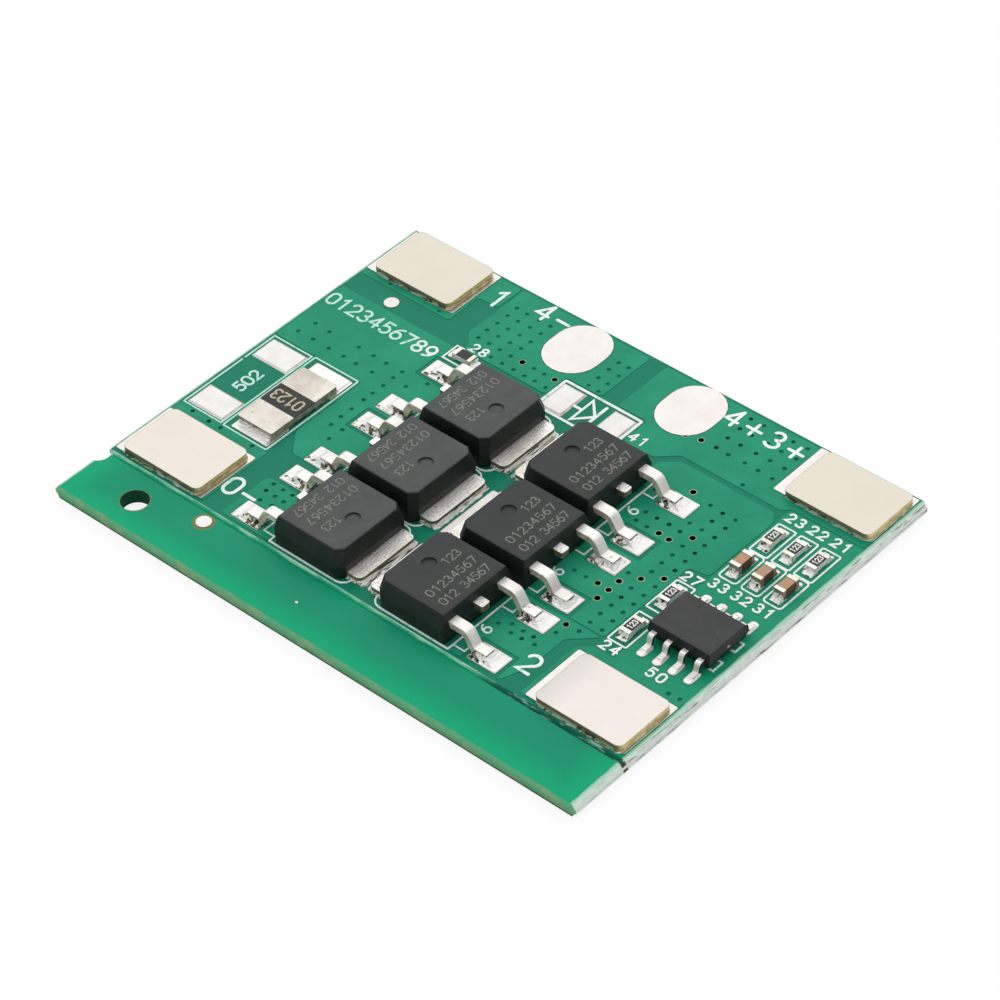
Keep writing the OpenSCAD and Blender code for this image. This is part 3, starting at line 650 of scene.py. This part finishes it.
# Plain figures and signs, drawn as strokes in a cell 0.62 wide and 1 high: (closed, points)
CELL_W = 0.62
FIGURES = {
    "0": [(True, arc(0.31, 0.69, 0.31, 0.31, 0, 180) + arc(0.31, 0.31, 0.31, 0.31, 180, 360))],
    "1": [(False, [(0.12, 0.8), (0.36, 1.0), (0.36, 0.0)])],
    "2": [(False, arc(0.31, 0.7, 0.3, 0.3, 165, -38) + [(0.0, 0.0), (0.62, 0.0)])],
    "3": [(False, arc(0.29, 0.75, 0.27, 0.25, 150, -80) + arc(0.29, 0.25, 0.32, 0.25, 80, -150))],
    "4": [(False, [(0.46, 0.0), (0.46, 1.0)]), (False, [(0.46, 1.0), (0.0, 0.3), (0.62, 0.3)])],
    "5": [(False, [(0.57, 1.0), (0.1, 1.0), (0.05, 0.56)] + arc(0.29, 0.33, 0.32, 0.33, 125, -145))],
    "6": [(True, arc(0.31, 0.31, 0.31, 0.31, 0, 350, 14)),
          (False, arc(0.64, 0.31, 0.64, 0.69, 180, 102, 6))],
    "7": [(False, [(0.0, 1.0), (0.62, 1.0), (0.2, 0.0)])],
    "8": [(True, arc(0.31, 0.76, 0.26, 0.24, 0, 340, 12)), (True, arc(0.31, 0.26, 0.31, 0.26, 0, 345, 12))],
    "9": [(True, arc(0.31, 0.69, 0.31, 0.31, 0, 350, 14)),
          (False, arc(-0.02, 0.69, 0.64, 0.69, 0, -78, 6))],
    "+": [(False, [(0.0, 0.42), (0.72, 0.42)]), (False, [(0.36, 0.06), (0.36, 0.78)])],
    "-": [(False, [(0.02, 0.42), (0.66, 0.42)])],
}


def write(piece, text, corner, height, length, width, band, turn=0):
    """Strokes a row of figures from its lower left corner; turn is the reading direction in degrees."""
    inner = height - width
    tightest = 0.8 * inner
    gaps = max(1, len(text) - 1)
    pitch = (length - width - CELL_W * inner) / gaps
    stretch = 1.0
    if len(text) > 1 and pitch < tightest:
        stretch = pitch / tightest
        pitch = (length - width - CELL_W * inner * stretch) / gaps
    c, s = math.cos(math.radians(turn)), math.sin(math.radians(turn))
    for i, figure in enumerate(text):
        for closed, points in FIGURES.get(figure, []):
            placed = []
            for px, py in points:
                u, v = width / 2 + i * pitch + px * inner * stretch, width / 2 + py * inner
                placed.append((corner[0] + u * c - v * s, corner[1] + u * s + v * c))
            stroke(piece, placed, width, band, closed)


def cut(piece, cutter, keep=False):
    """Takes the cutter's volume out of a piece; the new faces carry the cutter's materials."""
    change = piece.modifiers.new("cut", "BOOLEAN")
    change.operation, change.solver, change.object = "DIFFERENCE", "EXACT", cutter
    change.material_mode = "TRANSFER"
    graph = bpy.context.evaluated_depsgraph_get()
    done = bpy.data.meshes.new_from_object(piece.evaluated_get(graph))
    piece.modifiers.clear()
    piece.data = done
    if not keep:
        bpy.data.objects.remove(cutter)


# ---- copper under the mask ---------------------------
POURS = [
    [(0.25, 29.05), (8.55, 29.05), (8.55, 32.2), (10.3, 32.2), (10.3, 34.75), (0.25, 34.75)],
    [(0.25, 20.4), (8.45, 20.4), (8.45, 13.95), (9.85, 12.2), (14.6, 12.2), (14.6, 25.6),
     (11.2, 25.6), (11.2, 27.15), (0.25, 27.15)],
    [(10.5, 29.0), (11.4, 28.0), (11.4, 27.4), (18.9, 27.4), (18.9, 29.6), (22.0, 29.6),
     (22.0, 34.75), (10.5, 34.75)],
    [(0.25, 5.05), (8.5, 5.05), (8.5, 11.25), (0.25, 11.25)],
    [(10.2, 5.05), (14.6, 5.05), (14.6, 9.65), (10.65, 9.65), (10.2, 9.2)],
    [(23.45, 29.6), (26.0, 29.6), (26.0, 27.1), (28.6, 27.1), (29.95, 28.38), (38.45, 28.38),
     (38.9, 28.9), (44.8, 28.9), (44.8, 34.75), (23.45, 34.75)],
    [(30.4, 27.95), (29.2, 26.95), (29.2, 24.6), (30.45, 24.6), (30.45, 12.1), (37.2, 12.1),
     (37.3, 20.4), (38.75, 20.6), (38.8, 27.1), (38.2, 27.95)],
    [(30.45, 5.05), (34.6, 5.05), (35.4, 7.2), (35.4, 10.4), (37.1, 11.95), (30.45, 11.95)],
    [(36.35, 5.05), (44.8, 5.05), (44.8, 11.1), (37.2, 11.1), (36.35, 10.3)],
]


def filleted(points, r=0.3):
    """Rounds every corner of an outline with a short arc."""
    out = []
    count = len(points)
    for i, p in enumerate(points):
        p, a, b = Vector(p), Vector(points[i - 1]), Vector(points[(i + 1) % count])
        reach = min(r, (a - p).length / 2.5, (b - p).length / 2.5)
        start, end = p + (a - p).normalized() * reach, p + (b - p).normalized() * reach
        for k in range(5):
            t = k / 4
            q = start * (1 - t) ** 2 + p * 2 * t * (1 - t) + end * t ** 2
            out.append((q.x, q.y))
    return out


def mask_openings():
    """Where the copper's relief stops short of each bare pad; gate pads stand clear of the copper."""
    openings = [box_round(x, y, 8.2, 5.25, 0.15) for x, y in TAB_PLACES]
    openings += [box_round(x, y, 4.4, 5.43, 2.19) for x, y in OUTPUT_PLACES]
    for x, y, facing in FET_PLACES:
        for side in (-1, 1):
            margin = 0.62 if side * facing > 0 else 0.1
            openings.append(box_round(x - facing * LEAD_PAD_X, y + side * LEAD_OFFSET,
                                      LEAD_PAD[0] + margin, LEAD_PAD[1] + margin, 0.15))
    openings += [box_round(x, y, 3.45, 2.35, 0.15) for x, y in SHUNT_PAD_PLACES]
    openings += [box_round(x, y, 2.12, 2.95, 0.15) for x, y in DIODE_PAD_PLACES]
    openings.append(box_round(12.3, 26.6, 2.7, 1.0, 0.1))
    return openings


pours = Piece("copper_under_mask", "laminate", "pour")
for outline in POURS:
    pours.prism(filleted(outline), 0.0, POUR_T)
cutter = Piece("cutter", "laminate", "pour")
for outline in mask_openings():
    cutter.prism(outline, -0.5, 0.5)

# ---- vias --------------------------------------------
VIA_BLOCKS = [
    ([11.4, 12.4, 13.45, 14.5], [33.0, 32.0, 30.9, 29.9, 28.9]),
    ([15.5, 16.6, 17.5, 18.45], [27.9]),
    ([16.6, 17.5], [28.9]),
    ([12.4, 13.45, 14.5], [27.9]),
    ([20.6, 21.5], [33.0, 32.0, 30.9, 29.9]),
    ([1.6, 3.05, 5.73, 7.14, 8.41, 9.82], [22.95]),
    ([1.3, 2.7, 4.2, 5.64, 6.77, 8.27], [21.6]),
    ([9.8], [22.1, 21.1, 20.1, 19.2, 17.95, 16.95, 15.95]),
    ([11.04, 11.9, 12.7], [9.2, 8.4]),
    ([1.6, 3.2, 4.3, 7.2], [11.0]),
    ([35.65, 36.7], [25.8, 24.75, 23.68, 21.68, 20.68, 19.64, 16.6, 15.57, 14.58, 13.55, 12.55]),
    ([35.65], [18.64, 11.5]),
    ([36.7], [22.68, 17.64]),
    ([34.6], [25.87, 23.7, 22.7, 17.6, 10.5]),
    ([32.7], [22.7, 21.65, 15.6]),
    ([31.7], [22.7, 21.7, 15.58]),
    ([33.68], [22.7]),
    ([31.25, 32.35, 33.67, 34.83, 36.04], [34.17, 32.95, 31.7, 30.46]),
]
VIA_SINGLES = [
    (11.1, 22.0), (10.8, 16.0), (10.7, 14.8), (12.0, 23.1), (2.7, 29.5), (7.4, 29.4), (11.4, 7.55),
    (12.4, 7.6), (30.75, 24.75), (31.2, 8.8), (31.96, 9.33), (32.9, 9.33), (33.75, 9.3),
    (32.4, 8.67), (33.3, 8.75), (34.3, 8.8), (43.5, 10.9), (44.4, 10.9), (34.9, 28.75),
]
OPEN_VIAS = [
    (15.5, 28.9), (18.4, 28.9), (36.7, 18.6), (35.6, 17.65), (35.68, 22.68), (34.6, 21.6),
    (34.6, 16.58), (34.6, 15.54), (34.6, 14.5), (34.6, 11.46), (33.68, 21.65), (33.68, 15.58),
    (32.92, 26.08), (30.0, 30.46), (28.9, 30.17),
]

# Materials of the holes and of the collars, by their place in the lists below
RIM, TENTED, OPEN, DARKER_SHADE, FAINT = range(5)
COLLAR, COLLAR_HOLE = range(2)
holes = Piece("holes", "laminate", "via_rim", "via_bowl_shade", "open_hole_shade", "via_bowl_dark_shade", "via_bowl_faint_shade")
collars = Piece("open_vias", "laminate", "collar", "open_hole_shade")


def jittered(place):
    """The centre and the size of one via, a little off its place and its nominal size."""
    centre = (place[0] + RNG.uniform(-0.04, 0.04), place[1] + RNG.uniform(-0.04, 0.04))
    return centre, RNG.uniform(0.92, 1.06)


def sink(centre, size, wall):
    """Adds a via's hole to the holes, from its wall as (radius, z, material) steps, bottom first."""
    holes.rings(centre, [(r * size, z, m) for r, z, m in wall], closed=True)


def tented_via(place):
    """A bowl that the mask makes over the hole, painted darker green as its shade; about a third are
    painted darker still, and those of the back left are faint.
    """
    centre, size = jittered(place)
    bowl = DARKER_SHADE if RNG.random() < 0.3 else TENTED
    if place[1] > 19.5 and place[0] < 29.0:
        bowl = FAINT
    sink(centre, size, [(0.055, -0.07, bowl), (0.12, -0.045, bowl), (0.15, POUR_T - 0.025, bowl),
                        (0.19, POUR_T + 0.01, RIM), (0.24, 0.2, RIM)])


def open_via(place):
    """A plated hole with a bare collar."""
    centre, size = jittered(place)
    collars.rings(centre, [(0.275, 0.0, COLLAR), (0.265, POUR_T + 0.012, COLLAR),
                           (0.225, POUR_T + 0.014, COLLAR), (0.2, POUR_T - 0.01, COLLAR_HOLE),
                           (0.2, -0.4, COLLAR_HOLE)], closed=False)
    # The bore is painted near black: painted shade down the hole
    sink(centre, size, [(0.2, -0.7, OPEN), (0.2, 0.2, OPEN)])


for xs, ys in VIA_BLOCKS:
    for x in xs:
        for y in ys:
            tented_via((x, y))
for place in VIA_SINGLES:
    tented_via(place)
for place in OPEN_VIAS:
    open_via(place)
collars.finish()

board = new_object("board_with_vias", frame["nodes"]["board"].data.copy())
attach(board, "root")
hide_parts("board")
holes = holes.finish()
cut(board, holes, keep=True)
pours = pours.finish()
cut(pours, cutter.finish())
cut(pours, holes)

# ---- printed outlines --------------------------------
PRINT = (-0.01, INK_T)
LINE, WIDE_LINE, SIGN_LINE = 0.12, 0.2, 0.22
ink = Piece("printed_outlines", "laminate", "ink")

# A power package's outline, from its place: body, rounded corners by its drain tab, lead brackets
BODY_BACK, BODY_SIDE = -3.35, 3.36
CORNER_X, CORNER_R = 2.6, 0.75
BRACKET_X, BRACKET_Y = -4.31, (1.7, 2.86)


def line(points, closed=False, width=LINE):
    stroke(ink, points, width, PRINT, closed)


def outline_package(x, y, facing):
    def placed(points):
        return [(x + facing * dx, y + dy) for dx, dy in points]

    for side in (-1, 1):
        near, far = side * BRACKET_Y[0], side * BRACKET_Y[1]
        line(placed([(BODY_BACK, near), (BRACKET_X, near), (BRACKET_X, far), (BODY_BACK, far)]))
        bend = [(CORNER_X + CORNER_R * math.sin(t), side * (BODY_SIDE - CORNER_R * (1 - math.cos(t))))
                for t in (0.0, 0.5, 1.0, 1.45)]
        line(placed([(BODY_BACK, side * BODY_SIDE)] + bend))
    line(placed([(BODY_BACK, -BODY_SIDE), (BODY_BACK, BODY_SIDE)]))


for x, y, facing in FET_PLACES:
    outline_package(x, y, facing)
# Chips at the right: a resistor behind each capacitor, and two resistors beside the controller
for x in CHIP_X:
    line(rectangle(x - 0.72, 24.2, x + 0.72, 27.3, 0.12), closed=True)
    line(rectangle(x - 0.72, 21.04, x + 0.72, 24.1, 0.25), closed=True)
for y in (15.96, 12.21):
    line(rectangle(37.41, y, 38.9, y + 3.11, 0.08), closed=True)
# Brackets at the controller's right side
for far, near in [(17.2, 16.3), (15.07, 14.14)]:
    line([(44.04, far), (44.39, far), (44.39, near), (44.04, near)])
# The sense resistor, the empty place beside it, and a lone chip's corner
line(rectangle(4.2, 11.3, 8.23, 20.3, 0.1), closed=True)
line([(0.41, 17.0), (0.41, 11.36), (3.95, 11.36), (3.95, 20.2), (0.41, 20.2), (0.41, 17.3)])
line([(11.5, 27.4), (10.9, 27.4), (10.9, 25.85), (12.4, 25.85)])
# The empty diode's place and its sign
line(rectangle(19.1, 26.12, 25.8, 29.33, 0.1), closed=True, width=WIDE_LINE)
line([(21.9, 26.5), (21.9, 28.9), (23.05, 27.7)], closed=True, width=SIGN_LINE)
line([(23.1, 26.5), (23.1, 28.9)], width=SIGN_LINE)
line([(21.1, 27.7), (21.9, 27.7)], width=SIGN_LINE)

# ---- printed figures ---------------------------------
marks = Piece("printed_marks", "laminate", "ink")
for text, x, y, height, length in [
    ("0-", 8.45, 6.45, 1.85, 2.75), ("1", 9.1, 32.0, 1.95, 1.3), ("2", 34.6, 6.45, 1.85, 1.4),
    ("4-", 12.6, 33.0, 1.85, 2.9), ("4+", 29.7, 32.65, 1.85, 2.95), ("3+", 33.25, 32.6, 1.85, 2.95),
]:
    write(marks, text, (x, y), height, length, 0.24, PRINT)
write(marks, "0123456789", (0.35, 25.02), 1.35, 10.0, 0.19, PRINT)
for text, x, y in [
    ("24", 37.4, 11.2), ("50", 41.2, 11.15), ("27", 37.35, 19.25), ("33", 39.1, 19.85),
    ("32", 40.95, 19.85), ("31", 42.75, 19.85), ("23", 39.1, 27.75), ("22", 40.92, 27.75),
    ("21", 42.8, 27.75), ("41", 26.05, 27.35), ("28", 11.7, 27.5),
]:
    write(marks, text, (x, y), 0.92, 1.45, 0.15, PRINT)
write(marks, "502", (2.85, 14.45), 1.1, 2.3, 0.17, PRINT, turn=90)
for y in (7.6, 14.5, 21.9):
    write(marks, "6", (31.45, y), 0.95, 0.8, 0.13, PRINT, turn=90)
# A stray fleck of the print on the rail
marks.prism(box_round(20.02, 2.03, 0.2, 0.16, 0.07), *PRINT)
ink.finish()
marks.finish()

# ---- marks on the parts ------------------------------
codes = Piece("moulding_marks", "moulding", "moulding_ink")
CODE_LINES = [("123", -0.12, 0.55, 1.5), ("01234567", 1.12, -2.27, 4.5), ("012 34567", 2.27, -2.27, 4.5)]
for x, y, facing in FETS:
    for text, offset, start, length in CODE_LINES:
        corner = (x - facing * offset, y - facing * start)
        write(codes, text, corner, 0.72, length, 0.09, (FET_TOP - 0.004, FET_TOP + 0.004), -90 * facing)
codes.finish()

chips = Piece("chip_marks", "black_glaze", "code_ink")
for x, y in [(x, 25.78) for x in CHIP_X] + [(38.15, 17.54), (38.15, 13.77)]:
    write(chips, "123", (x + 0.24, y - 0.42), 0.48, 0.84, 0.085,
          (RESISTOR_TOP - 0.002, RESISTOR_TOP + 0.006), turn=90)
chips.finish()

shunt_mark = Piece("sense_resistor_mark", "shunt_coat", "shunt_ink")
write(shunt_mark, "0123", (7.7, 15.93), 1.1, 2.7, 0.155, (SHUNT_TOP - 0.002, SHUNT_TOP + 0.006), turn=180)
shunt_mark.finish()

# ---- solder, with the uneven skin it set with --------
# Front end of the sense resistor, and the reach of its solder: in the solid, and out to the pad's edge
SHUNT_FRONT, SHUNT_REACH, SHUNT_FILM = 12.16, 1.415, 0.61


def crumple(node, longest, depth, grain, shape=None, stain=None):
    """Stands in for a solder node: its own form, finely divided and puckered above the pads."""
    form = bmesh.new()
    form.from_mesh(frame["nodes"][node].data)
    bmesh.ops.remove_doubles(form, verts=form.verts, dist=1e-7)
    for _ in range(9):
        bmesh.ops.triangulate(form, faces=form.faces)
        edges = [edge for edge in form.edges if edge.calc_length() > longest / 1000]
        if not edges:
            break
        bmesh.ops.subdivide_edges(form, edges=edges, cuts=1)
    bmesh.ops.triangulate(form, faces=form.faces)
    form.normal_update()
    layer = form.verts.layers.float.new("stain")
    moves = []
    for vertex in form.verts:
        x = vertex.co.x * 1000 + BOARD_L / 2
        y = vertex.co.y * 1000 + BOARD_W / 2
        z = vertex.co.z * 1000 - BOARD_T
        rise = clamped((z - PAD_T - 0.02) / 0.08)
        pucker = noise.fractal(Vector((x, y, z)) * grain, 0.8, 2.0, 3) * depth * rise
        move = vertex.normal * pucker
        if shape:
            move += shape(x, y, z)
        moves.append(move / 1000)
        vertex[layer] = stain(x, y) if stain else 0.0
    for vertex, move in zip(form.verts, moves):
        vertex.co += move
    piece = mesh_object(node + "_skin", form, frame["nodes"][node].data.materials, smooth=True)
    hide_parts(node)


def lead_stain(x, y):
    """Darkens each pad's solder on its near side toward the body and under its lead: flux burns, and
    painted shade where the lead and the body shade the pad.
    """
    worst = 0.0
    for place_x, place_y, facing in FET_PLACES:
        for side in (-1, 1):
            u = facing * (x - place_x) + LEAD_PAD_X
            v = y - place_y - side * LEAD_OFFSET
            if abs(u) < 1.3 and abs(v) < 0.95:
                near = clamped((-0.25 - v) / 0.15)
                inner = clamped((u + 0.25) / 0.5)
                under = clamped((u - 0.75) / 0.2)
                worst = max(worst, near * inner, under, 0.6 * near * (facing > 0))
    return worst


def chip_stain(x, y):
    return 0.6 if x > 30 else 0.12


def chip_fillet(x, y, z):
    """Lifts the chips' fillets a little, and draws the sense resistor's front one back onto its pad."""
    if x > 37.0 and y < 28.0:
        return Vector((0.0, 0.0, 0.3 * max(0.0, z - PAD_T)))
    past = max(0.0, SHUNT_FRONT - y) if x < 10.0 else 0.0
    return Vector((0.0, past * (1.0 - SHUNT_FILM / SHUNT_REACH), 0.0))


crumple("lead_solder", longest=0.09, depth=0.055, grain=2.6, stain=lead_stain)
crumple("controller_solder", longest=0.08, depth=0.03, grain=4.0)
crumple("chip_solder", longest=0.07, depth=0.09, grain=5.0, shape=chip_fillet, stain=chip_stain)


def apron(piece, box, r, top, reach_x, reach_y, seed):
    """A ragged solder fillet round a rounded rectangle, from height top down to the pad."""
    outline = rectangle(*box, r, 6)
    points = []
    for (x0, y0), (x1, y1) in zip(outline, outline[1:] + outline[:1]):
        count = max(1, round(math.hypot(x1 - x0, y1 - y0) / 0.07))
        points += [(x0 + (x1 - x0) * i / count, y0 + (y1 - y0) * i / count) for i in range(count)]
    rows = 7
    loops = []
    for x, y in points:
        dx = x - min(max(x, box[0] + r), box[2] - r)
        dy = y - min(max(y, box[1] + r), box[3] - r)
        length = math.hypot(dx, dy) or 1.0
        dx, dy = dx / length, dy / length
        wave = noise.fractal(Vector((x * 1.4, y * 1.4, seed)), 0.8, 2.0, 3)
        out = (reach_x if abs(dx) > abs(dy) else reach_y) * (1.0 + 0.5 * wave)
        loop = []
        for k in range(rows):
            s = k / (rows - 1)
            ripple = noise.fractal(Vector((x * 4, y * 4, seed + k * 0.6)), 0.8, 2.0, 2)
            away = out * s - 0.015 + 0.02 * ripple * math.sin(math.pi * s)
            z = (top - 0.01) * (1 - s) ** 1.4 * (1 + 0.12 * wave * (s > 0)) + 0.004
            loop.append(piece.bm.verts.new(at(x + dx * away, y + dy * away, z)))
        loop.append(piece.bm.verts.new(at(x - dx * 0.03, y - dy * 0.03, 0.002)))
        loops.append(loop)
    for one, two in zip(loops, loops[1:] + loops[:1]):
        for k in range(rows + 1):
            n = (k + 1) % (rows + 1)
            piece.bm.faces.new((one[k], one[n], two[n], two[k]))


tab_fillets = Piece("tab_fillets", "solder", "tab_fillet")
INSET = 0.06
for number, name in enumerate(["front_left", "back_left", "back_right", "front_right"]):
    corners = [Vector(c) for c in frame["nodes"]["tab_" + name].bound_box]
    x0, x1 = (f(c.x for c in corners) * 1000 + BOARD_L / 2 for f in (min, max))
    y0, y1 = (f(c.y for c in corners) * 1000 + BOARD_W / 2 for f in (min, max))
    box = (x0 + INSET, y0 + INSET, x1 - INSET, y1 - INSET)
    apron(tab_fillets, box, r=0.45, top=PAD_T + 0.235, reach_x=0.17, reach_y=0.17, seed=3.0 * number)
tab_fillets.finish(smooth=True)

drain_fillets = Piece("drain_fillets", "solder", "drain_fillet")
DRAIN_NEAR, DRAIN_FAR, DRAIN_HALF = 1.0, 4.15, 2.65
for number, (x, y, facing) in enumerate(FETS):
    x0, x1 = sorted((x + facing * DRAIN_NEAR, x + facing * DRAIN_FAR))
    box = (x0, y - DRAIN_HALF, x1, y + DRAIN_HALF)
    apron(drain_fillets, box, r=0.42, top=PAD_T + 0.24, reach_x=0.3, reach_y=0.1,
          seed=20.0 + 3.0 * number)
drain_fillets.finish(smooth=True)

# ---- the torn web along the snapped edges ------------
web = Piece("torn_web", "laminate", "laminate")
WEB_HEIGHTS = [-0.44, -0.5, -0.58, -0.68]
WEB_X = 0.21


def torn_edge(x, outwards, y0, y1):
    """A ragged strip of glass fibre along a snapped side."""
    count = int((y1 - y0) / 0.16)
    rows = []
    for i in range(count + 1):
        y = y0 + (y1 - y0) * i / count
        reach = [RNG.uniform(0.02, 0.13) for _ in WEB_HEIGHTS]
        rows.append([web.bm.verts.new(at(x + outwards * r, y, z + RNG.uniform(-0.03, 0.03)))
                     for r, z in zip(reach, WEB_HEIGHTS)])
    for a, b in zip(rows, rows[1:]):
        for i in range(len(WEB_HEIGHTS) - 1):
            corners = (a[i], a[i + 1], b[i + 1], b[i])
            web.bm.faces.new(corners if outwards > 0 else corners[::-1])


torn_edge(BOARD_L + WEB_X, 1, RAIL_W + 0.2, BOARD_W - 0.05)
torn_edge(-WEB_X, -1, RAIL_W + 1.0, BOARD_W - 0.05)
web.finish()

# ---- floor, light and background ---------------------
FLOOR_REACH, FLOOR_DROP = 1.5, 0.00002
floor_mesh = bpy.data.meshes.new("floor")
floor_corners = rectangle(-FLOOR_REACH, -FLOOR_REACH, FLOOR_REACH, FLOOR_REACH)
floor_mesh.from_pydata([(x, y, 0) for x, y in floor_corners], [], [(0, 1, 2, 3)])
floor = new_object("floor", floor_mesh)
floor.location.z = -FLOOR_DROP


def paper_look():
    """White paper that rays from the camera see as nearly even white."""
    look = Look("paper", rough=0.9, specular=0.0)
    look.colour((0.95, 0.95, 0.95))
    path = look.add("ShaderNodeLightPath").outputs
    seen = look.math("MAXIMUM", path["Is Glossy Ray"], path["Is Transmission Ray"])
    seen = look.math("MAXIMUM", path["Is Camera Ray"], seen)
    white = look.add("ShaderNodeEmission", Color=(1, 1, 1), Strength=1.04)
    blend = look.add("ShaderNodeMixShader", Fac=look.times(seen, 0.8), in1=look.shader.outputs[0],
                     in2=white.outputs[0])
    look.set(look.tree.nodes["Material Output"].inputs["Surface"], blend.outputs[0])
    return look.mat


floor_mesh.materials.append(paper_look())

# The world lights the board at SKY, and the camera sees it as plain white
SKY = 0.62
world = bpy.data.worlds.new("studio")
bpy.context.scene.world = world
world.use_nodes = True
background = world.node_tree.nodes["Background"]
background.inputs["Color"].default_value = (1, 1, 1, 1)
path = world.node_tree.nodes.new("ShaderNodeLightPath")
strength = world.node_tree.nodes.new("ShaderNodeMapRange")
strength.inputs["To Min"].default_value = SKY
world.node_tree.links.new(path.outputs["Is Camera Ray"], strength.inputs["Value"])
world.node_tree.links.new(strength.outputs[0], background.inputs["Strength"])

# One soft square lamp behind and to the left, aimed at the board
softbox = new_object("softbox", bpy.data.lights.new("softbox", "AREA"))
softbox.data.size, softbox.data.energy = 1.36, 4.24
softbox.location = (-0.25, 0.3, 0.55)
softbox.rotation_euler = (-softbox.location).to_track_quat("-Z", "Y").to_euler()

bpy.context.scene.view_settings.view_transform = "Standard"
